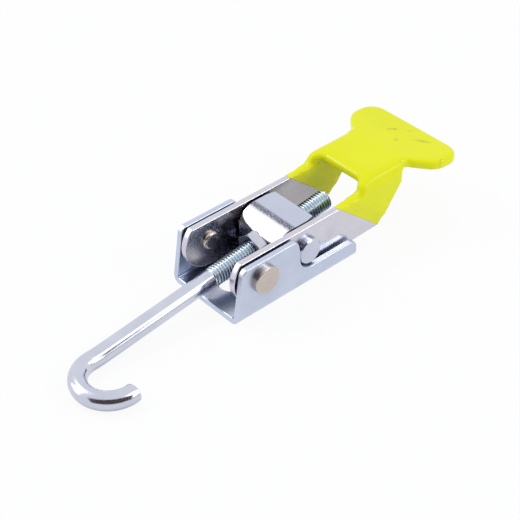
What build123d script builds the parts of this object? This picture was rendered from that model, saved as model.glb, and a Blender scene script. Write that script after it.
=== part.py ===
"""Over centre toggle latch with a J hook, a folded steel lever and a dipped vinyl grip.

Units are millimetres. The origin is the centre of the base's underside, +X points
towards the grip, +Z points up and the plane Y = 0 halves the base and the lever.
"""
from build123d import *
from math import acos, asin, atan2, cos, degrees, hypot, radians, sin, sqrt, tan
import os

os.makedirs("parts", exist_ok=True)

# Base: one folded channel with high ears round the pivot and low walls behind them
base_length = 62.0
base_width = 36.8
base_sheet = 2.4
base_bend = 0.9            # inside radius of the two folds
ear_height = 24.1
ear_front_lean = 8.2       # the ears' front edges lean back, in degrees
ear_front_corner = 2.8
ear_rear_corner = 2.0
wall_end_corner = 3.6

edge_break = 0.4           # rounding along the rims of both folded plates

# Screw holes in the base's floor, one towards each end
screw_hole_radius = 4.5
screw_pitch = 36.0

# Pivot rivets that carry the lever between the ears
pivot_x = -17.3
pivot_z = 15.95
rivet_shank_radius = 3.2
rivet_head_radius = 5.75
rivet_head_height = 2.1
rivet_head_round = 0.5
rivet_upset_radius = 3.8
rivet_upset_height = 1.6
rivet_upset_round = 1.2
rivet_side_play = 0.1
running_clearance = 0.05

# Lever: one folded plate, its arms inside the ears, its web and T bar under the grip
lever_width = 29.9
lever_sheet = 2.7
lever_bend = 1.0           # inside radius of the two folds
arm_front_radius = 11.8    # about the pivot
arm_top = 24.4
arm_top_corner = 1.2
arm_rise_start = 33.0      # the arms' top edges rise from here to the web's front edge
web_top = 29.7
web_front = 40.2
window_corner = 3.2
arm_heel_x = 45.8
arm_heel_z = 5.6
arm_heel_corner = 1.2
neck_x = 57.5
neck_step_z = 21.8

# T bar at the lever's end, seen from above; it droops a little from the neck
bar_end_x = 81.4
bar_half_width = 23.4
bar_root_x = 61.0
bar_root_y = 14.4
bar_front_x = 69.0
bar_front_radius = 8.5
bar_rear_radius = 6.0
bar_shoulder_radius = 2.2
bar_droop = 4.5
bar_droop_radius = 50.0

# Vinyl skin dipped over the web, the T bar and the rear of the arms
coat = 1.0
dip_top_x = 23.8           # where the dip line crosses the arms' top edges
dip_lean = 40.0            # the dip line's fall towards the heels, in degrees

# Trunnion between the arms, bored for the hook bolt
trunnion_reach = 24.2      # from the pivot, along X
trunnion_drop = 1.35       # below the pivot: past the centre when closed
nose_radius = 9.2
nose_offset = 3.6          # the nose's centre lies ahead of the journal axis
trunnion_rear = 7.4
trunnion_cone_start = 9.9  # the block's ends are turned to cones about the journals
trunnion_cone_end = 12.9
trunnion_cone_depth = 1.4
trunnion_side_gap = 1.0
nose_face = 10.7           # the nose is faced off for the lock nut, square to the bolt
journal_radius = 5.4
journal_seat = 0.65
journal_inset = 1.0        # from the journal's end to the base's outer face
journal_edge_break = 0.5

# Hook bolt and its lock nut
thread_radius = 4.0
thread_clearance = 0.05
thread_length = 60.1
tail_length = 24.8         # from the journal axis to the threaded end
tail_chamfer = 0.8
shank_radius = 3.6
hook_slope = 7.15          # the shank falls towards the hook, in degrees
hook_set_radius = 40.0     # the bend that lays the hook level
hook_radius = 11.3         # of the hook's centreline
hook_turn = 190.0
tip_chamfer = 0.4
nut_flats = 13.0
nut_height = 4.0
nut_chamfer = 0.7
nut_gap = 0.05
nut_turn = 22.0

half_base = base_width / 2
front_x = -base_length / 2
rear_x = base_length / 2
arm_outer = lever_width / 2
arm_inner = arm_outer - lever_sheet
trunnion_x = pivot_x + trunnion_reach
trunnion_z = pivot_z - trunnion_drop
seat_radius = journal_radius + journal_seat
trunnion_bearing = degrees(atan2(-trunnion_drop, trunnion_reach))
ear_sweep_radius = hypot(trunnion_reach, trunnion_drop) - seat_radius
wall_height = trunnion_z - seat_radius
rise = sin(radians(hook_slope))
run = cos(radians(hook_slope))
bolt_plane = Plane(origin=(trunnion_x, 0, trunnion_z), x_dir=(0, 1, 0), z_dir=(run, 0, rise))

with BuildPart() as base_bracket:
    sheet_mid = base_sheet / 2
    with BuildSketch(Plane.YZ.offset(front_x)):
        with BuildLine():
            FilletPolyline(
                (-half_base + sheet_mid, ear_height),
                (-half_base + sheet_mid, sheet_mid),
                (half_base - sheet_mid, sheet_mid),
                (half_base - sheet_mid, ear_height),
                radius=base_bend + sheet_mid,
            )
            offset(amount=sheet_mid, side=Side.BOTH, kind=Kind.ARC)
        make_face()
    extrude(amount=base_length)
    ear_rise = ear_height - pivot_z
    ear_rear_x = pivot_x + sqrt(ear_sweep_radius**2 - ear_rise**2)
    ear_rear_angle = degrees(asin(ear_rise / ear_sweep_radius))
    ear_front_x = front_x + ear_height * tan(radians(ear_front_lean))
    with BuildSketch(Plane.XZ):
        with BuildLine():
            Polyline(
                (ear_rear_x, ear_height),
                (ear_front_x, ear_height),
                (front_x, 0),
                (rear_x, 0),
                (rear_x, wall_height),
                (trunnion_x, wall_height),
            )
            CenterArc((pivot_x, pivot_z), ear_sweep_radius, ear_rear_angle,
                      trunnion_bearing - ear_rear_angle)
            CenterArc((trunnion_x, trunnion_z), seat_radius, 180 + trunnion_bearing,
                      90 - trunnion_bearing)
        make_face()
        fillet(vertices().sort_by_distance((ear_front_x, ear_height))[0], ear_front_corner)
        fillet(vertices().sort_by_distance((ear_rear_x, ear_height))[0], ear_rear_corner)
        fillet(vertices().sort_by_distance((rear_x, wall_height))[0], wall_end_corner)
    extrude(amount=base_width, both=True, mode=Mode.INTERSECT)
    with Locations(Plane.XZ.offset(half_base) * Location((pivot_x, pivot_z))):
        Hole(rivet_shank_radius)
    with Locations(Plane.XY.offset(base_sheet)):
        with GridLocations(screw_pitch, 0, 2, 1):
            Hole(screw_hole_radius, depth=base_sheet)
    folds = base_bracket.edges().filter_by(Axis.X).filter_by(lambda edge: edge.length > rear_x)
    seams = base_bracket.edges().filter_by(Axis.Y).filter_by(lambda edge: edge.length < 2 * base_sheet)
    rims = base_bracket.edges().filter_by(
        lambda edge: edge not in folds and edge not in seams
    )
    fillet(rims, edge_break)
base_bracket.part.label = "base_bracket"

with BuildPart() as pivot_rivet_right:
    rivet_plane = Plane(origin=(pivot_x, -half_base, pivot_z), x_dir=(1, 0, 0), z_dir=(0, 1, 0))
    grip_length = half_base - arm_inner + rivet_side_play
    with BuildSketch(rivet_plane):
        Circle(rivet_head_radius)
    extrude(amount=-rivet_head_height)
    fillet(pivot_rivet_right.edges().sort_by(Axis.Y)[0], rivet_head_round)
    with BuildSketch(rivet_plane):
        Circle(rivet_shank_radius)
    extrude(amount=grip_length)
    with BuildSketch(rivet_plane.offset(grip_length)):
        Circle(rivet_upset_radius)
    extrude(amount=rivet_upset_height)
    fillet(pivot_rivet_right.edges().sort_by(Axis.Y)[-1], rivet_upset_round)
pivot_rivet_right.part.label = "pivot_rivet_right"

with BuildPart() as pivot_rivet_left:
    mirror(pivot_rivet_right.part, about=Plane.XZ)
pivot_rivet_left.part.label = "pivot_rivet_left"


def drooped_bar(skin):
    """The T bar with the strip of web it grows from, grown by a skin on every side."""
    sheet_mid = lever_sheet / 2
    web_flat = arm_inner - lever_bend
    with BuildPart() as bar:
        with BuildSketch(Plane.XZ):
            with BuildLine():
                level = Line((neck_x - lever_sheet - skin, web_top - sheet_mid),
                             (neck_x, web_top - sheet_mid))
                droop = JernArc(level @ 1, level % 1, bar_droop_radius, -bar_droop)
                Line(droop @ 1, droop @ 1 + (bar_end_x - neck_x) * (droop % 1))
                offset(amount=sheet_mid + skin, side=Side.BOTH, kind=Kind.ARC)
            make_face()
        extrude(amount=bar_half_width + skin, both=True)
        with BuildSketch():
            with BuildLine():
                Polyline(
                    (neck_x - lever_sheet, 0),
                    (neck_x - lever_sheet, web_flat),
                    (neck_x, web_flat),
                    (neck_x, bar_root_y),
                    (bar_root_x, bar_root_y),
                    (bar_front_x, bar_half_width),
                    (bar_end_x, bar_half_width),
                    (bar_end_x, 0),
                )
                mirror(about=Plane.XZ)
            make_face()
            for side in (-1, 1):
                fillet(vertices().sort_by_distance((bar_root_x, side * bar_root_y))[0],
                       bar_shoulder_radius)
                fillet(vertices().sort_by_distance((bar_front_x, side * bar_half_width))[0],
                       bar_front_radius)
                fillet(vertices().sort_by_distance((bar_end_x, side * bar_half_width))[0],
                       bar_rear_radius)
            offset(amount=skin)
        extrude(amount=web_top + skin, mode=Mode.INTERSECT)
    return bar.part


def folded_arms(skin):
    """The lever's two arms and the web between them, grown by a skin on every side."""
    arm_rise = arm_top - pivot_z
    arm_front_angle = 180 - degrees(asin(arm_rise / arm_front_radius))
    heel_distance = hypot(arm_heel_x - pivot_x, arm_heel_z - pivot_z)
    heel_angle = degrees(atan2(arm_heel_z - pivot_z, arm_heel_x - pivot_x))
    arm_under_angle = 360 + heel_angle - degrees(acos(arm_front_radius / heel_distance))
    sheet_mid = lever_sheet / 2
    with BuildPart() as form:
        with BuildSketch(Plane.YZ.offset(front_x)):
            with BuildLine():
                FilletPolyline(
                    (-arm_outer + sheet_mid, 0),
                    (-arm_outer + sheet_mid, web_top - sheet_mid),
                    (arm_outer - sheet_mid, web_top - sheet_mid),
                    (arm_outer - sheet_mid, 0),
                    radius=lever_bend + sheet_mid,
                )
                offset(amount=sheet_mid + skin, side=Side.BOTH, kind=Kind.ARC)
            make_face()
        extrude(amount=neck_x + skin - front_x)
        with BuildSketch(Plane.XZ):
            with BuildLine():
                nose = CenterArc((pivot_x, pivot_z), arm_front_radius, arm_front_angle,
                                 arm_under_angle - arm_front_angle)
                Polyline(
                    nose @ 1,
                    (arm_heel_x, arm_heel_z),
                    (neck_x, neck_step_z),
                    (neck_x, web_top),
                    (web_front, web_top),
                )
                rise_middle = ((web_front + arm_rise_start) / 2, (web_top + arm_top) / 2)
                crest = TangentArc((web_front, web_top), rise_middle, tangent=(-1, 0))
                TangentArc(crest @ 1, (arm_rise_start, arm_top), tangent=crest % 1)
                Line((arm_rise_start, arm_top), nose @ 0)
            make_face()
            fillet(vertices().sort_by_distance((arm_heel_x, arm_heel_z))[0], arm_heel_corner)
            fillet(vertices().sort_by_distance(nose @ 0)[0], arm_top_corner)
            offset(amount=skin)
        extrude(amount=lever_width, both=True, mode=Mode.INTERSECT)
        with BuildSketch(Plane.XY.offset(web_top + skin)):
            with Locations((web_front - skin, 0)):
                Rectangle(web_front - front_x, 2 * (arm_inner - skin),
                          align=(Align.MAX, Align.CENTER))
            fillet(vertices().group_by(Axis.X)[-1], window_corner - skin)
        extrude(amount=-web_top, mode=Mode.SUBTRACT)
    return form.part


dip_plane = Plane(
    origin=(dip_top_x, 0, arm_top),
    x_dir=(0, 1, 0),
    z_dir=(sin(radians(dip_lean)), 0, cos(radians(dip_lean))),
)
with BuildPart() as bare_arms:
    add(folded_arms(0))
    split(bisect_by=dip_plane, keep=Keep.BOTTOM)
    rims = bare_arms.faces().filter_by(Axis.Y).edges()
    fillet(rims.filter_by(lambda edge: dip_plane.to_local_coords(edge.center()).Z < -coat),
           edge_break)

with BuildPart() as lever_plate:
    add(folded_arms(0))
    split(bisect_by=dip_plane, keep=Keep.TOP)
    add(bare_arms.part)
    add(drooped_bar(0))
    with Locations(Plane.XZ.offset(arm_outer) * Location((pivot_x, pivot_z))):
        Hole(rivet_shank_radius + running_clearance)
    with Locations(Plane.XZ.offset(arm_outer) * Location((trunnion_x, trunnion_z))):
        Hole(journal_radius + running_clearance)
lever_plate.part.label = "lever_plate"

with BuildPart() as vinyl_grip:
    add(folded_arms(coat))
    add(drooped_bar(coat))
    split(bisect_by=dip_plane, keep=Keep.TOP)
    add(lever_plate.part, mode=Mode.SUBTRACT)
vinyl_grip.part.label = "vinyl_grip"

with BuildPart() as trunnion:
    block_half = arm_inner - trunnion_side_gap
    block_plane = Plane(origin=(trunnion_x, 0, trunnion_z), x_dir=(1, 0, 0), z_dir=(0, -1, 0))
    with BuildSketch(Plane.XY.offset(trunnion_z)):
        with BuildLine():
            Polyline(
                (trunnion_x, 0),
                (trunnion_x, block_half),
                (trunnion_x + trunnion_cone_start, block_half),
                (trunnion_x + trunnion_cone_end, block_half - trunnion_cone_depth),
                (trunnion_x + trunnion_cone_end, 0),
            )
            mirror(about=Plane.XZ)
        make_face()
    revolve(axis=Axis((trunnion_x, 0, trunnion_z), (0, 1, 0)))
    with BuildSketch(block_plane):
        with BuildLine():
            CenterArc((-nose_offset, 0), nose_radius, 90, 180)
            Polyline(
                (-nose_offset, -nose_radius),
                (trunnion_rear, -nose_radius),
                (trunnion_rear, nose_radius),
                (-nose_offset, nose_radius),
            )
        make_face()
    extrude(amount=block_half, both=True, mode=Mode.INTERSECT)
    split(bisect_by=bolt_plane.offset(-nose_face), keep=Keep.TOP)
    with BuildSketch(block_plane):
        Circle(journal_radius)
    extrude(amount=half_base - journal_inset, both=True)
    ends = trunnion.faces().sort_by(Axis.Y)
    chamfer(ends[0].edges() + ends[-1].edges(), journal_edge_break)
    with Locations(bolt_plane):
        Hole(thread_radius + thread_clearance)
trunnion.part.label = "trunnion"

with BuildPart() as hook_bolt:
    with BuildSketch(bolt_plane.offset(tail_length)):
        Circle(thread_radius)
    extrude(amount=-thread_length)
    chamfer(hook_bolt.edges().filter_by(GeomType.CIRCLE), tail_chamfer)
    axis_drop = (trunnion_z - shank_radius) / rise
    set_length = hook_set_radius * tan(radians(hook_slope) / 2)
    kink_x = trunnion_x - axis_drop * run
    with BuildLine() as hook_path:
        shank = Line(
            bolt_plane.offset(tail_length - thread_length).origin,
            bolt_plane.offset(set_length - axis_drop).origin,
        )
        level = TangentArc(shank @ 1, (kink_x - set_length, 0, shank_radius), tangent=shank % 1)
        CenterArc(level @ 1 - Vector(0, hook_radius, 0), hook_radius, 90, hook_turn)
    with BuildSketch(Plane(origin=hook_path.line @ 0, z_dir=hook_path.line % 0)):
        Circle(shank_radius)
    sweep(path=hook_path.line)
    tip = hook_bolt.faces().sort_by_distance(hook_path.line @ 1)[0]
    chamfer(tip.edges(), tip_chamfer)
hook_bolt.part.label = "hook_bolt"

with BuildPart() as lock_nut:
    nut_corner = nut_flats / 2 / cos(radians(30))
    with BuildSketch(bolt_plane.offset(-nose_face - nut_gap)):
        Circle(nut_corner)
    extrude(amount=-nut_height)
    chamfer(lock_nut.edges().filter_by(GeomType.CIRCLE), nut_chamfer / 2, nut_chamfer)
    with BuildSketch(bolt_plane.offset(-nose_face - nut_gap)):
        RegularPolygon(nut_flats / 2, side_count=6, major_radius=False, rotation=nut_turn)
    extrude(amount=-nut_height, mode=Mode.INTERSECT)
    with Locations(bolt_plane):
        Hole(thread_radius + thread_clearance)
lock_nut.part.label = "lock_nut"

pieces = (
    base_bracket,
    pivot_rivet_right,
    pivot_rivet_left,
    lever_plate,
    vinyl_grip,
    trunnion,
    hook_bolt,
    lock_nut,
)
for piece in pieces:
    export_step(piece.part, "parts/" + piece.part.label + ".step")
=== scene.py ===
"""The looks of the over centre toggle latch: plated steel, rolled threads and a dipped vinyl grip."""

from math import acos, asin, atan2, cos, hypot, pi, radians, sin, tan

import bpy
import numpy as np
from mathutils import Matrix, Vector

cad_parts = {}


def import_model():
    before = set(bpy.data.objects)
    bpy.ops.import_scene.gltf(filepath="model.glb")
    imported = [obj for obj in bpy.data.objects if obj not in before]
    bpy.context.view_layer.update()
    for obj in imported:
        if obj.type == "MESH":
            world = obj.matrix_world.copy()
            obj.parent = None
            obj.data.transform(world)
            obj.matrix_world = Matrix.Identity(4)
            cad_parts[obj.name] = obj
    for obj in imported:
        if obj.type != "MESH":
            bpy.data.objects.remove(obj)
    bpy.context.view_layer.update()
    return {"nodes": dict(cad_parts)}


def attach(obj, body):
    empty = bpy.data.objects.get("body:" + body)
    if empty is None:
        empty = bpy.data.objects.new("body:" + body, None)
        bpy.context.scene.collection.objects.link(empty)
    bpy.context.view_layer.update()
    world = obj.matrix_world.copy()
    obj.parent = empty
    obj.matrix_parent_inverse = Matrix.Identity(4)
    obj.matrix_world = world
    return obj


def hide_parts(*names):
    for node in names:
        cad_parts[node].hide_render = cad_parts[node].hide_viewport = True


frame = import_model()
nodes = frame["nodes"]

MM = 0.001

# Sizes are in millimetres. Points are (x, z), and (x, y) in BAR_ROOT.

# Hook bolt
AXIS = (6.9, 14.6)             # the bolt's axis passes the journals' axis here
HOOK_SLOPE = radians(7.15)
HOOK_SET_RADIUS = 40.0
HOOK_RADIUS = 11.3
HOOK_TURN = radians(190.0)
TIP_CHAMFER = 0.4
SHANK_RADIUS = 3.6
CREST_RADIUS = 4.0
TAIL_LENGTH = 24.8
THREAD_LENGTH = 60.1
TAIL_CHAMFER = 0.8

# Rolled M8 thread, which the solid leaves out
THREAD_PITCH = 1.25
ROOT_RADIUS = 3.28
ROOT_FLAT = 0.12               # share of half a pitch that is flat, at the root and at the crest
RUN_OUT = 1.6                  # the thread fades into the shank over this many pitches
TAIL_FACE = ((0.0, 2.2), (0.0, 2.95), (0.06, 3.12))    # the end face's rings: distance back, radius
LEAD_START = 0.12
LEAD_RADIUS = 3.15
TIP_EDGE = (0.12, 0.22)        # the hook's tip between face and side: distance back, drop
AROUND = 72                    # points on a ring
RINGS_PER_PITCH = 12
SHANK_START = 0.2              # the plain shank's first ring lies this far past the thread
SHANK_RINGS = 60
SET_RINGS = 8
HOOK_RINGS = 90
LEVEL = 1e-6                   # a direction that climbs less than this is level

# Lever plate, under the skin
PIVOT = (-17.3, 15.95)
SHEET = 2.7
ARM_OUTER = 14.95
ARM_INNER = 12.25
ARM_FRONT_RADIUS = 11.8
ARM_TOP = 24.4
ARM_RISE_START = 33.0
WEB_TOP = 29.7
WEB_FRONT = 40.2
HEEL = (45.8, 5.6)
HEEL_CORNER = 1.2
NECK_X = 57.5
NECK_STEP_Z = 21.8
BAR_END_X = 81.4
BAR_HALF = 23.4
BAR_ROOT = (61.0, 14.4)
BAR_FRONT_X = 69.0
BAR_FRONT_RADIUS = 8.5
BAR_REAR_RADIUS = 6.0
BAR_DROOP = radians(4.5)
BAR_DROOP_RADIUS = 50.0

# Vinyl skin, whose edges and corners are softer than the solid's own
COAT = 1.0
DIP_TOP_X = 23.8
DIP_LEAN = radians(40.0)
DIP_EDGE = 0.16                # the skin thins out to this at the dip line,
DIP_TAPER = 6.0                # and is full this far behind it
DIP_LINE_ROUND = 0.1
EDGE_ROUND = 1.9
THIN_ROUND = 3.0               # where the skin is thin, an edge rounds by this many times its thickness
FOLD_RADIUS = 2.35
WINDOW_POOL = 4.2              # radius of the window's rear corners
WEB_UNDER = 26.0               # the window is cut in the web, above this
BAR_SHOULDER_RADIUS = 3.2
BAR_INSET = 0.65               # the T bar's root is narrower than the solid's by this,
BAR_INSET_END = 63.0           # and regains its full width here,
BAR_INSET_TAPER = 5.0          # over this length
JOIN_LEAST = 0.02              # fillet between arms and T bar on top of the web,
JOIN_MORE = 1.6                # and what it gains underneath,
JOIN_TOP = 27.6                # from this height down,
JOIN_TAPER = 2.0               # over this length

# The arms' side outline, which runs past the skin wherever something else bounds it
OUTLINE_FRONT = 10.0
OUTLINE_REAR = 2.6
OUTLINE_ABOVE = 8.0
NECK_TOP_Z = 26.5
CREST_LIFT = 0.16              # behind the web's front edge it climbs by this times the distance squared,
CREST_STEPS = (6.5, 6.0, 5.0, 4.0, 3.0, 2.0, 1.0)      # through these distances
ARC_POINTS = 7

# The block of space in which the skin's surface is traced, and the trace's step
GRIP_LOW = (22.0, -25.8, 2.6)
GRIP_HIGH = (83.4, 25.8, 31.8)
GRIP_STEP = 0.42


# ---------------------------------------------------------------- mesh helpers
def make_object(name, verts, faces, smooth=True):
    """A mesh object from points in millimetres."""
    mesh = bpy.data.meshes.new(name)
    mesh.from_pydata([tuple(v) for v in np.asarray(verts, float) * MM], [], faces)
    mesh.validate()
    mesh.update()
    if smooth:
        mesh.polygons.foreach_set("use_smooth", [True] * len(mesh.polygons))
    made = bpy.data.objects.new(name, mesh)
    bpy.context.scene.collection.objects.link(made)
    return made


def tube(rings):
    """Quads between successive rings of equal length, closed by a fan at each end."""
    count = len(rings[0])
    verts = [p for ring in rings for p in ring]
    faces = []
    for i in range(len(rings) - 1):
        a, b = i * count, (i + 1) * count
        for j in range(count):
            k = (j + 1) % count
            faces.append((a + j, a + k, b + k, b + j))
    for ring, start, flip in ((rings[0], 0, True), (rings[-1], (len(rings) - 1) * count, False)):
        centre = len(verts)
        verts.append(np.mean(ring, axis=0))
        for j in range(count):
            k = (j + 1) % count
            fan = (start + j, start + k, centre)
            faces.append(fan[::-1] if flip else fan)
    return verts, faces


def smoothstep(t):
    """0 to 1 with a level start and end."""
    return t * t * (3 - 2 * t)


def polygon_distance(px, pz, outline):
    """Signed distance to a closed outline, negative inside."""
    outline = np.asarray(outline, float)
    best = np.full(px.shape, np.inf)
    inside = np.zeros(px.shape, bool)
    for (ax, az), (bx, bz) in zip(outline, np.roll(outline, -1, axis=0)):
        ex, ez = bx - ax, bz - az
        along = np.clip(((px - ax) * ex + (pz - az) * ez) / (ex * ex + ez * ez), 0, 1)
        best = np.minimum(best, (px - ax - along * ex) ** 2 + (pz - az - along * ez) ** 2)
        if az != bz:
            crosses = ((az > pz) != (bz > pz)) & (px < (bx - ax) * (pz - az) / (bz - az) + ax)
            inside ^= crosses
    return np.where(inside, -np.sqrt(best), np.sqrt(best))


def rounded_corner(outline, index, radius, points=8):
    """The outline with one corner replaced by an arc."""
    p = np.asarray(outline[index], float)
    a = np.asarray(outline[index - 1], float) - p
    b = np.asarray(outline[(index + 1) % len(outline)], float) - p
    a, b = a / np.linalg.norm(a), b / np.linalg.norm(b)
    half = acos(float(np.clip(a @ b, -1, 1))) / 2
    bisector = (a + b) / np.linalg.norm(a + b)
    centre = p + bisector * radius / sin(half)
    start, end = p + a * radius / tan(half), p + b * radius / tan(half)
    sweep = pi - 2 * half
    u = (start - centre) / radius
    v = (end - centre) / radius
    arc = [centre + radius * (sin(sweep * (1 - t)) * u + sin(sweep * t) * v) / sin(sweep)
           for t in np.linspace(0, 1, points)]
    return list(outline[:index]) + [tuple(q) for q in arc] + list(outline[index + 1:])


def round_meet(a, b, radius):
    """Intersection of two distance fields with a rounded edge."""
    inner = np.minimum(np.maximum(a, b) + radius, 0)
    outer = np.hypot(np.maximum(a + radius, 0), np.maximum(b + radius, 0))
    return inner + outer - radius


def soft_join(a, b, reach):
    """Union of two distance fields with a small fillet where they meet."""
    h = np.clip(reach - np.abs(a - b), 0, None) / reach
    return np.minimum(a, b) - h * h * reach / 4


def draw_to_level(field, points, step):
    """Move points along a field's slope on to its zero level."""
    passes, probe, least_slope = 3, 0.02, 0.2
    for _ in range(passes):
        level = field(*points.T)
        slope = np.stack([
            field(*(points + np.eye(3)[i] * probe).T) - field(*(points - np.eye(3)[i] * probe).T)
            for i in range(3)], axis=1) / (2 * probe)
        size = np.maximum((slope ** 2).sum(1), least_slope)
        move = -(level / size)[:, None] * slope
        points += np.clip(move, -step / 2, step / 2)
    return points


def surface(field, low, high, step):
    """Quads of a distance field's zero level, by surface nets, then drawn on to the level."""
    axes = [np.arange(lo, hi + step, step) for lo, hi in zip(low, high)]
    x, y, z = np.meshgrid(*axes, indexing="ij")
    value = field(x, y, z)
    sign = value < 0
    shape = np.array(value.shape) - 1
    total = np.zeros(tuple(shape) + (3,))
    hits = np.zeros(tuple(shape))
    for axis in range(3):
        others = [i for i in range(3) if i != axis]
        for da in (0, 1):
            for db in (0, 1):
                cut0 = [None] * 3
                cut1 = [None] * 3
                for other, d in zip(others, (da, db)):
                    cut0[other] = cut1[other] = slice(d, d + shape[other])
                cut0[axis] = slice(0, shape[axis])
                cut1[axis] = slice(1, shape[axis] + 1)
                v0, v1 = value[tuple(cut0)], value[tuple(cut1)]
                crossing = sign[tuple(cut0)] != sign[tuple(cut1)]
                share = np.where(crossing, v0 / np.where(crossing, v0 - v1, 1), 0)
                total[..., axis] += np.where(crossing, share, 0)
                for other, d in zip(others, (da, db)):
                    total[..., other] += np.where(crossing, d, 0)
                hits += crossing
    active = hits > 0
    number = np.full(active.shape, -1)
    number[active] = np.arange(active.sum())
    cell = np.argwhere(active)
    points = np.array([a[0] for a in axes]) + (cell + total[active] / hits[active][:, None]) * step
    faces = []
    for axis in range(3):
        b, c = (axis + 1) % 3, (axis + 2) % 3
        first = [slice(1, -1)] * 3
        first[axis] = slice(0, -1)
        second = [slice(1, -1)] * 3
        second[axis] = slice(1, None)
        s0, s1 = sign[tuple(first)], sign[tuple(second)]
        for state, order in ((s0 & ~s1, 1), (~s0 & s1, -1)):
            at = np.argwhere(state)
            at[:, b] += 1
            at[:, c] += 1
            corners = []
            for db, dc in ((0, 0), (-1, 0), (-1, -1), (0, -1)):
                spot = at.copy()
                spot[:, b] += db
                spot[:, c] += dc
                corners.append(number[tuple(spot.T)])
            faces.append(np.stack(corners[::order], axis=1))
    return draw_to_level(field, points, step), np.concatenate(faces).tolist()


# ---------------------------------------------------------------- the hook bolt
def thread_radius_at(s, turn):
    """Radius of the rolled thread at a distance along the bolt and an angle, in turns."""
    phase = (s / THREAD_PITCH - turn) % 1.0
    ridge = abs(2 * phase - 1)
    flank = np.clip((ridge - ROOT_FLAT) / (1 - 2 * ROOT_FLAT), 0, 1)
    return ROOT_RADIUS + (CREST_RADIUS - ROOT_RADIUS) * smoothstep(flank)


def hook_bolt():
    """The threaded rod with its J bend, as one run of rings from the tail to the hook's tip."""
    run, rise = cos(HOOK_SLOPE), sin(HOOK_SLOPE)
    axis = np.array((run, 0, rise))
    origin = np.array((AXIS[0], 0, AXIS[1]))
    angles = np.arange(AROUND) * 2 * pi / AROUND
    rings = []

    def ring(centre, tangent, radius):
        """A ring across a tangent that lies either level or square to y."""
        side = np.array((0.0, 1.0, 0.0))
        if abs(tangent[2]) < LEVEL:
            side = np.cross(tangent, (0.0, 0.0, 1.0))
        up = np.cross(tangent, side)
        radius = np.broadcast_to(radius, angles.shape)
        rings.append(centre + radius[:, None] * (np.cos(angles)[:, None] * side
                                                 + np.sin(angles)[:, None] * up))

    thread_end = TAIL_LENGTH - THREAD_LENGTH
    for back, radius in TAIL_FACE:
        ring(origin + axis * (TAIL_LENGTH - back), -axis, radius)
    for s in np.arange(TAIL_LENGTH - LEAD_START, thread_end, -THREAD_PITCH / RINGS_PER_PITCH):
        lead = LEAD_RADIUS + (TAIL_LENGTH - s) * (CREST_RADIUS - LEAD_RADIUS) / TAIL_CHAMFER
        fade = np.clip((s - thread_end) / (RUN_OUT * THREAD_PITCH), 0, 1)
        radius = thread_radius_at(s, angles / (2 * pi))
        radius = SHANK_RADIUS + (radius - SHANK_RADIUS) * fade
        ring(origin + axis * s, -axis, np.minimum(radius, lead))

    axis_drop = (AXIS[1] - SHANK_RADIUS) / rise
    set_length = HOOK_SET_RADIUS * tan(HOOK_SLOPE / 2)
    kink = np.array((AXIS[0] - axis_drop * run, 0, SHANK_RADIUS))
    for s in np.linspace(thread_end - SHANK_START, set_length - axis_drop, SHANK_RINGS):
        ring(origin + axis * s, -axis, SHANK_RADIUS)
    level_start = kink + np.array((-set_length, 0, 0))
    for angle in np.linspace(HOOK_SLOPE, 0, SET_RINGS)[1:]:
        lift = np.array((sin(angle), 0, 1 - cos(angle)))
        ring(level_start + HOOK_SET_RADIUS * lift, -np.array((cos(angle), 0, sin(angle))), SHANK_RADIUS)
    middle = level_start + np.array((0, -HOOK_RADIUS, 0))
    for at in np.linspace(pi / 2, pi / 2 + HOOK_TURN, HOOK_RINGS)[1:]:
        centre = middle + HOOK_RADIUS * np.array((cos(at), sin(at), 0))
        tangent = np.array((-sin(at), cos(at), 0))
        ring(centre, tangent, SHANK_RADIUS)
    # The chamfered tip takes the place of the last plain ring
    rings.pop()
    for along, radius in ((-TIP_CHAMFER, SHANK_RADIUS), (-TIP_EDGE[0], SHANK_RADIUS - TIP_EDGE[1]),
                          (0.0, SHANK_RADIUS - TIP_CHAMFER)):
        ring(centre + tangent * along, tangent, radius)
    verts, faces = tube(rings)
    return make_object("threaded_hook_bolt", verts, faces)


# ---------------------------------------------------------------- the dipped grip
def arm_outline():
    """Side outline of an arm, from the dip line's front round the heel and over the rise."""
    reach = hypot(HEEL[0] - PIVOT[0], HEEL[1] - PIVOT[1])
    under = atan2(HEEL[1] - PIVOT[1], HEEL[0] - PIVOT[0]) - acos(ARM_FRONT_RADIUS / reach)
    tangent = (PIVOT[0] + ARM_FRONT_RADIUS * cos(under), PIVOT[1] + ARM_FRONT_RADIUS * sin(under))
    share = (OUTLINE_FRONT - tangent[0]) / (HEEL[0] - tangent[0])
    start = (OUTLINE_FRONT, tangent[1] + share * (HEEL[1] - tangent[1]))
    fall = (WEB_TOP - ARM_TOP) / 2
    half = (WEB_FRONT - ARM_RISE_START) / 2
    radius = (half * half + fall * fall) / (2 * fall)
    swing = asin(half / radius)
    crest = [(WEB_FRONT - radius * sin(t), WEB_TOP - radius * (1 - cos(t)))
             for t in np.linspace(0, swing, ARC_POINTS)]
    foot = [(ARM_RISE_START + radius * sin(t), ARM_TOP + radius * (1 - cos(t)))
            for t in np.linspace(swing, 0, ARC_POINTS)]
    above = [(NECK_X, NECK_TOP_Z), (NECK_X + OUTLINE_REAR, WEB_TOP),
             (NECK_X + OUTLINE_REAR, WEB_TOP + OUTLINE_ABOVE),
             (WEB_FRONT + CREST_STEPS[0], WEB_TOP + OUTLINE_ABOVE)]
    above += [(WEB_FRONT + t, WEB_TOP + CREST_LIFT * t * t) for t in CREST_STEPS[1:]]
    outline = [start, HEEL, (NECK_X, NECK_STEP_Z)] + above + crest + foot[1:]
    outline.append((OUTLINE_FRONT, ARM_TOP))
    return rounded_corner(outline, 1, HEEL_CORNER)


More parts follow.
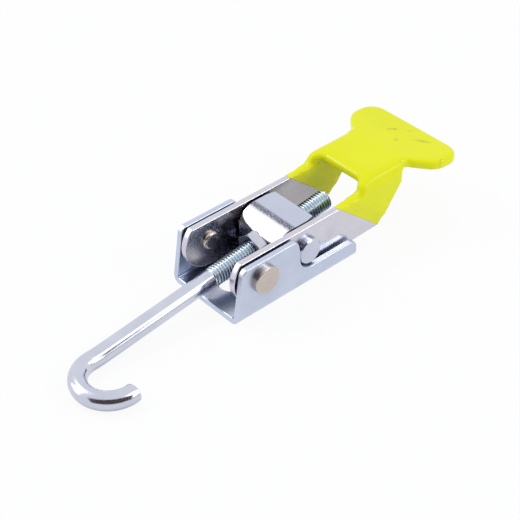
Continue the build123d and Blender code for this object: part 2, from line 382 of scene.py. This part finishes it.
def bar_outline():
    """Plan outline of the T bar and the strip of web that it grows from."""
    half = [(NECK_X - SHEET, ARM_INNER), (NECK_X, ARM_INNER), (NECK_X, BAR_ROOT[1]), BAR_ROOT,
            (BAR_FRONT_X, BAR_HALF), (BAR_END_X, BAR_HALF)]
    half = rounded_corner(half + [(BAR_END_X, 0)], 5, BAR_REAR_RADIUS)
    half = rounded_corner(half, 4, BAR_FRONT_RADIUS, points=12)
    half = rounded_corner(half, 3, BAR_SHOULDER_RADIUS)
    half.pop()
    return half + [(x, -y) for x, y in half[::-1]]


ARM_OUTLINE = arm_outline()
BAR_OUTLINE = bar_outline()


def arms_field(x, y, z, coat, edge):
    """The two arms and the web between them, with the window cut out of the web's front."""
    side = np.abs(y)
    mid = SHEET / 2
    wall, roof = ARM_OUTER - mid, WEB_TOP - mid
    by, bz = side - (wall - FOLD_RADIUS), z - (roof - FOLD_RADIUS)
    corner = np.abs(np.hypot(np.maximum(by, 0), np.maximum(bz, 0)) - FOLD_RADIUS)
    plain = np.minimum(np.abs(side - wall), np.abs(z - roof))
    profile = np.where((by > 0) & (bz > 0), corner,
                       np.where(by > 0, np.abs(side - wall),
                                np.where(bz > 0, np.abs(z - roof), plain))) - mid - coat
    outline = polygon_distance(x, z, ARM_OUTLINE) - coat
    wx = x - (WEB_FRONT - WINDOW_POOL)
    wy = side - (ARM_INNER - WINDOW_POOL)
    window = (np.minimum(np.maximum(wx, wy), 0)
              + np.hypot(np.maximum(wx, 0), np.maximum(wy, 0)) - WINDOW_POOL)
    below = np.clip(WEB_UNDER - z, 0, None)
    return round_meet(round_meet(profile, outline, edge), -coat - window - below, edge)


def bar_field(x, y, z, coat):
    """The drooped T bar."""
    mid = SHEET / 2
    past = np.maximum(x - NECK_X, 0)
    bend = BAR_DROOP_RADIUS * sin(BAR_DROOP)
    fall = np.where(past < bend,
                    BAR_DROOP_RADIUS - np.sqrt(BAR_DROOP_RADIUS ** 2 - np.minimum(past, bend) ** 2),
                    BAR_DROOP_RADIUS * (1 - cos(BAR_DROOP)) + (past - bend) * tan(BAR_DROOP))
    level = np.abs(z - (WEB_TOP - mid) + fall) * cos(BAR_DROOP) - mid - coat
    inset = BAR_INSET * np.clip((BAR_INSET_END - x) / BAR_INSET_TAPER, 0, 1)
    plan = polygon_distance(x, y, BAR_OUTLINE) - coat + inset
    return round_meet(level, plan, EDGE_ROUND)


def grip_field(x, y, z):
    """Signed distance of the dipped grip, in millimetres, negative inside."""
    depth = (x - DIP_TOP_X) * sin(DIP_LEAN) + (z - ARM_TOP) * cos(DIP_LEAN)
    coat = DIP_EDGE + (COAT - DIP_EDGE) * smoothstep(np.clip(depth / DIP_TAPER, 0, 1))
    arms = arms_field(x, y, z, coat, np.minimum(EDGE_ROUND, THIN_ROUND * coat))
    reach = JOIN_LEAST + JOIN_MORE * np.clip((JOIN_TOP - z) / JOIN_TAPER, 0, 1)
    grip = soft_join(arms, bar_field(x, y, z, coat), reach)
    return round_meet(grip, -depth, DIP_LINE_ROUND)


def dipped_grip():
    """The vinyl skin, closed round the steel inside it."""
    points, faces = surface(grip_field, GRIP_LOW, GRIP_HIGH, GRIP_STEP)
    return make_object("dipped_grip", points, faces)


# ---------------------------------------------------------------- materials
OCCLUSION_SAMPLES = 12

# Scuffs on the T bar: centre x and y, half length and half width in millimetres, turn in degrees, strength
SCUFFS = ((72.7, 4.0, 3.4, 1.3, -42.0, 0.55), (77.2, -1.1, 2.2, 0.9, -50.0, 0.35),
          (67.6, -2.4, 1.2, 1.2, 0.0, 1.0), (75.0, -9.6, 4.4, 1.5, -55.0, 0.55),
          (70.5, -23.6, 1.4, 0.6, 20.0, 0.6))
SCUFF_DEPTH = 4.0

# Painted reflections on the trunnion's nose, a dark band and a bright band, in millimetres: each fades
# between the two values of a pair
PAINTED_DARK_X = 3.2                 # the flat runs into the nose here
PAINTED_DARK_SPREAD = (0.8, 1.9)
PAINTED_DARK_RISE = (22.5, 23.2)
PAINTED_SHINE_REACH = (1.6, 2.6)
PAINTED_SHINE_RISE = (16.5, 20.0)


def put(tree, socket, value):
    """Link a socket to an output, or set it to a constant."""
    if isinstance(value, bpy.types.NodeSocket):
        tree.links.new(value, socket)
    else:
        socket.default_value = value


def add(tree, kind, inputs=None, **settings):
    """A new node with its settings and its inputs."""
    made = tree.nodes.new(kind)
    for key, value in settings.items():
        setattr(made, key, value)
    for key, value in (inputs or {}).items():
        put(tree, made.inputs[key], value)
    return made


class Nodes:
    """A material's node tree with short calls to add and join nodes."""

    def __init__(self, name):
        self.material = bpy.data.materials.new(name)
        self.material.use_nodes = True
        self.tree = self.material.node_tree
        self.shader = self.tree.nodes["Principled BSDF"]
        self.place = self.add("ShaderNodeTexCoord").outputs["Object"]

    def add(self, kind, inputs=None, **settings):
        return add(self.tree, kind, inputs, **settings)

    def shade(self, **inputs):
        """Set the shader's inputs, named with _ for each space."""
        for key, value in inputs.items():
            put(self.tree, self.shader.inputs[key.replace("_", " ")], value)

    def noise(self, scale, detail, rough):
        """Noise about 0.5, with this many features to the metre."""
        made = self.add("ShaderNodeTexNoise", {"Vector": self.place, "Scale": scale,
                                               "Detail": detail, "Roughness": rough})
        return made.outputs["Fac"]

    def span(self, value, low, high, to_low, to_high):
        """Map low to high on to another span, and hold it there."""
        made = self.add("ShaderNodeMapRange", {"Value": value, "From Min": low, "From Max": high,
                                               "To Min": to_low, "To Max": to_high})
        return made.outputs["Result"]

    def fade(self, value, ends, to_low, to_high):
        """A span whose ends are places in millimetres."""
        return self.span(value, ends[0] * MM, ends[1] * MM, to_low, to_high)

    def mix(self, share, a, b, how="MIX"):
        """Blend two colours, each a constant or an output."""
        made = self.add("ShaderNodeMix", data_type="RGBA", blend_type=how)
        put(self.tree, made.inputs["Factor"], share)
        for key, value in (("A", a), ("B", b)):
            linked = isinstance(value, bpy.types.NodeSocket)
            put(self.tree, made.inputs[key], value if linked else (*value, 1))
        return made.outputs["Result"]

    def tinted(self, tone, tint):
        """The tone times a constant colour."""
        return self.mix(1.0, tone, tint, "MULTIPLY")

    def math(self, how, a, b=0.0):
        made = self.add("ShaderNodeMath", {0: a, 1: b}, operation=how)
        return made.outputs["Value"]

    def openness(self, reach, hidden, open_from, local=False):
        """0 in a recess and 1 in the open, by what lies within reach in metres."""
        made = self.add("ShaderNodeAmbientOcclusion", {"Distance": reach},
                        samples=OCCLUSION_SAMPLES, only_local=local)
        return self.span(made.outputs["AO"], hidden, open_from, 0.0, 1.0)

    def bump(self, height, strength, distance, normal=None):
        """A bump of this depth in metres, on top of an earlier one."""
        inputs = {"Height": height, "Strength": strength, "Distance": distance}
        if normal is not None:
            inputs["Normal"] = normal
        return self.add("ShaderNodeBump", inputs).outputs["Normal"]


def plated(name, light, dark, smooth, rough, grain=0.02, wave=0.12, painted_shade=(0.16, 0.18, 0.24),
           reach=0.014, local=False, hidden=0.12, open_from=0.62, painted_light=None):
    """Zinc plating: two tones that drift, a fine grain, a slight waviness and painted shade in recesses.
    """
    m = Nodes(name)
    drift = m.noise(90, 4, 0.6)
    fine = m.noise(1100, 2, 0.5)
    specks = m.noise(420, 2, 0.5)
    tone = m.mix(m.span(drift, 0.35, 0.68, 0, 1), light, dark)
    tone = m.mix(m.span(specks, 0.62, 0.75, 0, 0.08), tone, tuple(c * 0.7 for c in dark))
    # Painted shade: where ambient occlusion finds a recess, the tone is multiplied by the recess colour.
    tone = m.mix(m.openness(reach, hidden, open_from, local), m.tinted(tone, painted_shade), tone)
    # Optional painted light on top of the tone: on the trunnion, a painted highlight and a painted dark
    # reflection.
    if painted_light:
        tone = painted_light(m, tone)
    ripple = m.bump(m.noise(60, 2, 0.5), wave, 0.0004)
    m.shade(Base_Color=tone, Metallic=1.0,
            Roughness=m.span(m.math("ADD", drift, fine), 0.7, 1.3, smooth, rough),
            Normal=m.bump(fine, grain, 0.00003, ripple))
    return m


def painted_nose_reflections(m, tone):
    """A painted highlight that lightens the nose, and a painted dark speckled reflection where the block's
    flat runs into it.
    """
    parts = m.add("ShaderNodeSeparateXYZ", {"Vector": m.place}).outputs
    off = m.math("ABSOLUTE", m.math("SUBTRACT", parts["X"], PAINTED_DARK_X * MM))
    dark_reflection = m.math("MULTIPLY", m.fade(off, PAINTED_DARK_SPREAD, 1, 0), m.fade(parts["Z"], PAINTED_DARK_RISE, 0, 1))
    dark_speckle = m.span(m.noise(2600, 3, 0.7), 0.42, 0.56, 0.15, 1.0)
    painted_shine = m.math("MULTIPLY", m.fade(parts["X"], PAINTED_SHINE_REACH, 1, 0),
                    m.fade(parts["Z"], PAINTED_SHINE_RISE, 0, 1))
    # Painted highlight: the nose is lightened towards white.
    tone = m.mix(painted_shine, tone, (0.90, 0.91, 0.95))
    # Painted dark reflection: a speckled dark band where the flat runs into the nose.
    return m.mix(m.math("MULTIPLY", dark_reflection, dark_speckle), tone, (0.045, 0.045, 0.07))


def vinyl(name):
    """Dipped vinyl: a yellow-green that drifts, with painted shade that deepens it in recesses, a soft
    skin and scuffs.
    """
    m = Nodes(name)
    drift = m.noise(45, 3, 0.5)
    tone = m.mix(m.span(drift, 0.35, 0.65, 0, 1), (0.81, 0.83, 0.010), (0.78, 0.80, 0.008))
    for x, y, long, short, turn, strength in SCUFFS:
        spot = m.add("ShaderNodeMapping", {
            "Vector": m.place, "Location": (x * MM, y * MM, WEB_TOP * MM),
            "Rotation": (0, 0, radians(turn)), "Scale": (long * MM, short * MM, SCUFF_DEPTH * MM)},
            vector_type="TEXTURE").outputs["Vector"]
        off = m.add("ShaderNodeVectorMath", {0: spot}, operation="LENGTH").outputs["Value"]
        patchy = m.span(m.noise(700, 3, 0.7), 0.40, 0.62, 0.2, 1.0)
        share = m.math("MULTIPLY", m.span(off, 0.3, 1.0, strength, 0), patchy)
        tone = m.mix(share, tone, (0.30, 0.27, 0.05))
    # Painted shade: the vinyl is tinted darker and more olive where ambient occlusion finds a recess.
    tone = m.mix(m.openness(0.02, 0.25, 0.75), m.tinted(tone, (1.02, 0.90, 0.3)), tone)
    skin = m.bump(m.noise(75, 2, 0.5), 0.2, 0.0006)
    m.shade(Base_Color=tone, Specular_IOR_Level=0.2,
            Roughness=m.span(m.noise(300, 3, 0.6), 0.3, 0.7, 0.10, 0.18),
            Normal=m.bump(m.noise(900, 2, 0.5), 0.03, 0.00004, skin))
    return m


# The recess colour given to each finish is painted shade. The lever's is warm: painted shade that is also
# a painted reflection of the vinyl.
sheet_zinc = plated("sheet_zinc", (0.58, 0.63, 0.77), (0.53, 0.58, 0.72), smooth=0.26, rough=0.36,
                    grain=0.0, wave=0.03, painted_shade=(0.60, 0.68, 0.80), local=True)
lever_zinc = plated("lever_zinc", (0.66, 0.65, 0.72), (0.61, 0.60, 0.68), smooth=0.22, rough=0.32,
                    grain=0.0, wave=0.03, painted_shade=(0.30, 0.275, 0.21), local=True, reach=0.05,
                    hidden=0.38, open_from=0.95)
# The trunnion's finish also carries the nose's painted highlight and painted dark reflection.
block_zinc = plated("block_zinc", (0.57, 0.60, 0.73), (0.53, 0.56, 0.69), smooth=0.10, rough=0.18,
                    grain=0.05, wave=0.08, hidden=0.2, open_from=0.75, painted_light=painted_nose_reflections)
rod_zinc = plated("rod_zinc", (0.62, 0.64, 0.74), (0.56, 0.58, 0.69), smooth=0.10, rough=0.20,
                  grain=0.05, wave=0.2)
thread_zinc = plated("thread_zinc", (0.70, 0.79, 0.87), (0.62, 0.71, 0.79), smooth=0.18, rough=0.28,
                     grain=0.0, wave=0.06, painted_shade=(0.36, 0.42, 0.50))
rivet_nickel = plated("rivet_nickel", (0.62, 0.55, 0.51), (0.55, 0.48, 0.45), smooth=0.18, rough=0.28,
                      grain=0.05, wave=0.1)
nut_zinc = plated("nut_zinc", (0.64, 0.65, 0.72), (0.55, 0.57, 0.66), smooth=0.12, rough=0.22,
                  grain=0.05, wave=0.1)
grip_vinyl = vinyl("grip_vinyl")

for name, made in (
    ("base_bracket", sheet_zinc),
    ("lever_plate", lever_zinc),
    ("trunnion", block_zinc),
    ("pivot_rivet_right", rivet_nickel),
    ("pivot_rivet_left", rivet_nickel),
    ("lock_nut", nut_zinc),
):
    mesh = nodes[name].data
    mesh.materials.clear()
    mesh.materials.append(made.material)

bolt = hook_bolt()
bolt.data.materials.append(rod_zinc.material)
bolt.data.materials.append(thread_zinc.material)
along = Vector((cos(HOOK_SLOPE), 0, sin(HOOK_SLOPE)))
start = Vector((AXIS[0], 0, AXIS[1]))
for face in bolt.data.polygons:
    reached = (face.center / MM - start) @ along
    face.material_index = int(TAIL_LENGTH - THREAD_LENGTH < reached < TAIL_LENGTH)
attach(bolt, "hook")
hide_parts("hook_bolt")

grip = dipped_grip()
grip.data.materials.append(grip_vinyl.material)
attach(grip, "lever")
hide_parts("vinyl_grip")


# ---------------------------------------------------------------- studio
# In metres, except for the floor and the flags, whose sizes are in millimetres like all the meshes
WHITE = (1, 1, 1, 1)
FILL_COLOUR = (0.95, 0.97, 1.0, 1)
FILL_STRENGTH = 0.70
FLOOR_SIZE = 6000.0
FLOOR_DROP = 0.00005
FLOOR_COLOUR = (0.86, 0.87, 0.88, 1)
FLOOR_WHITE = 0.92             # share of plain white in the floor as it is shown
FAR = 3.0                      # distance of the two big softboxes, and the unit of their places
BACK_PLACE = (-0.62 * FAR, FAR, 1.32 * FAR)
LEFT_PLACE = (-1.05 * FAR, FAR, 0.60 * FAR)
AIM = (0, 0, 0.01)
LENS = 93.49
SENSOR = 36.0
CAMERA_PLACE = (-0.27074, -0.29628, 0.33204)
CAMERA_RIGHT = Vector((0.74192, -0.67049, 0.00013))
CAMERA_UP = Vector((0.42431, 0.46967, 0.77419))
CAMERA_AHEAD = Vector((0.51915, 0.57433, -0.63295))


def card(name, size_x, size_y):
    """A flat rectangle about its own centre."""
    x, y = size_x / 2, size_y / 2
    return make_object(name, [(-x, -y, 0), (x, -y, 0), (x, y, 0), (-x, y, 0)], [(0, 1, 2, 3)],
                       smooth=False)


def put_in_place(made, at, target):
    """Stand an object at a point with its z axis away from a target."""
    away = Vector(at) - Vector(target)
    turn = away.to_track_quat("Z", "Y").to_matrix().to_4x4()
    made.matrix_world = Matrix.Translation(at) @ turn


def lamp(name, size_x, size_y, at, radiance, target=AIM):
    """A rectangular light that faces a point."""
    data = bpy.data.lights.new(name, "AREA")
    data.shape = "RECTANGLE"
    data.size = size_x
    data.size_y = size_y
    data.energy = radiance * pi * size_x * size_y
    made = bpy.data.objects.new(name, data)
    bpy.context.scene.collection.objects.link(made)
    put_in_place(made, at, target)


def flag(name, size_x, size_y, at, shade):
    """A dark card that metal sees and the camera and the shadows don't."""
    made = card(name, size_x, size_y)
    put_in_place(made, at, AIM)
    material = bpy.data.materials.new(name)
    material.use_nodes = True
    tree = material.node_tree
    glow = add(tree, "ShaderNodeEmission", {"Color": (*shade, 1)})
    put(tree, tree.nodes["Material Output"].inputs["Surface"], glow.outputs["Emission"])
    made.data.materials.append(material)
    made.visible_camera = False
    made.visible_shadow = False
    made.visible_diffuse = False


def shown_directly(tree):
    """1 for rays that show the background itself: from the camera, a mirror or glass."""
    path = add(tree, "ShaderNodeLightPath").outputs
    total = path["Is Camera Ray"]
    for output in ("Is Glossy Ray", "Is Transmission Ray"):
        total = add(tree, "ShaderNodeMath", {0: total, 1: path[output]},
                    operation="MAXIMUM").outputs["Value"]
    return total


def world():
    """A fill light that is shown as plain white."""
    made = bpy.data.worlds.new("studio")
    made.use_nodes = True
    tree = made.node_tree
    fill = tree.nodes["Background"]
    fill.inputs["Color"].default_value = FILL_COLOUR
    fill.inputs["Strength"].default_value = FILL_STRENGTH
    white = add(tree, "ShaderNodeBackground", {"Color": WHITE, "Strength": 1.0})
    mix = add(tree, "ShaderNodeMixShader", {0: shown_directly(tree), 1: fill.outputs["Background"],
                                            2: white.outputs["Background"]})
    put(tree, tree.nodes["World Output"].inputs["Surface"], mix.outputs["Shader"])
    bpy.context.scene.world = made


def floor():
    """A pale floor that takes shadows and is otherwise shown as near white."""
    made = card("floor", FLOOR_SIZE, FLOOR_SIZE)
    made.location.z = -FLOOR_DROP
    material = bpy.data.materials.new("pale_floor")
    material.use_nodes = True
    tree = material.node_tree
    plain = tree.nodes["Principled BSDF"]
    plain.inputs["Base Color"].default_value = FLOOR_COLOUR
    plain.inputs["Roughness"].default_value = 0.9
    plain.inputs["Specular IOR Level"].default_value = 0.0
    glow = add(tree, "ShaderNodeEmission", {"Color": WHITE, "Strength": 1.0})
    share = add(tree, "ShaderNodeMath", {0: shown_directly(tree), 1: FLOOR_WHITE}, operation="MULTIPLY")
    mix = add(tree, "ShaderNodeMixShader", {0: share.outputs["Value"], 1: plain.outputs["BSDF"],
                                            2: glow.outputs["Emission"]})
    put(tree, tree.nodes["Material Output"].inputs["Surface"], mix.outputs["Shader"])
    made.data.materials.append(material)


world()
floor()
lamp("back_softbox", 1.60 * FAR, 0.60 * FAR, at=BACK_PLACE, radiance=1.3,
     target=(BACK_PLACE[0], 0, BACK_PLACE[2]))
lamp("left_softbox", 1.10 * FAR, 0.80 * FAR, at=LEFT_PLACE, radiance=1.5,
     target=(LEFT_PLACE[0], 0, LEFT_PLACE[2]))
lamp("back_key", 0.26, 0.09, at=(-0.22, 0.42, 0.565), radiance=11.0)
lamp("front_softbox", 0.70, 1.9, at=(0.742, -1.51, 1.08), radiance=1.5)
lamp("front_key", 0.20, 0.13, at=(0.36, -0.40, 0.38), radiance=5.5)
flag("camera_flag", 1150, 460, at=(-0.30, -0.36, 0.26), shade=(0.10, 0.075, 0.07))
flag("horizon_flag", 900, 80, at=(0.46, -0.95, 0.05), shade=(0.12, 0.12, 0.16))

camera_data = bpy.data.cameras.new("camera")
camera_data.lens = LENS
camera_data.sensor_width = SENSOR
camera = bpy.data.objects.new("camera", camera_data)
bpy.context.scene.collection.objects.link(camera)
camera.matrix_world = Matrix.Translation(CAMERA_PLACE) @ Matrix(
    (CAMERA_RIGHT, CAMERA_UP, -CAMERA_AHEAD)).transposed().to_4x4()
bpy.context.scene.camera = camera
bpy.context.scene.view_settings.view_transform = "Standard"
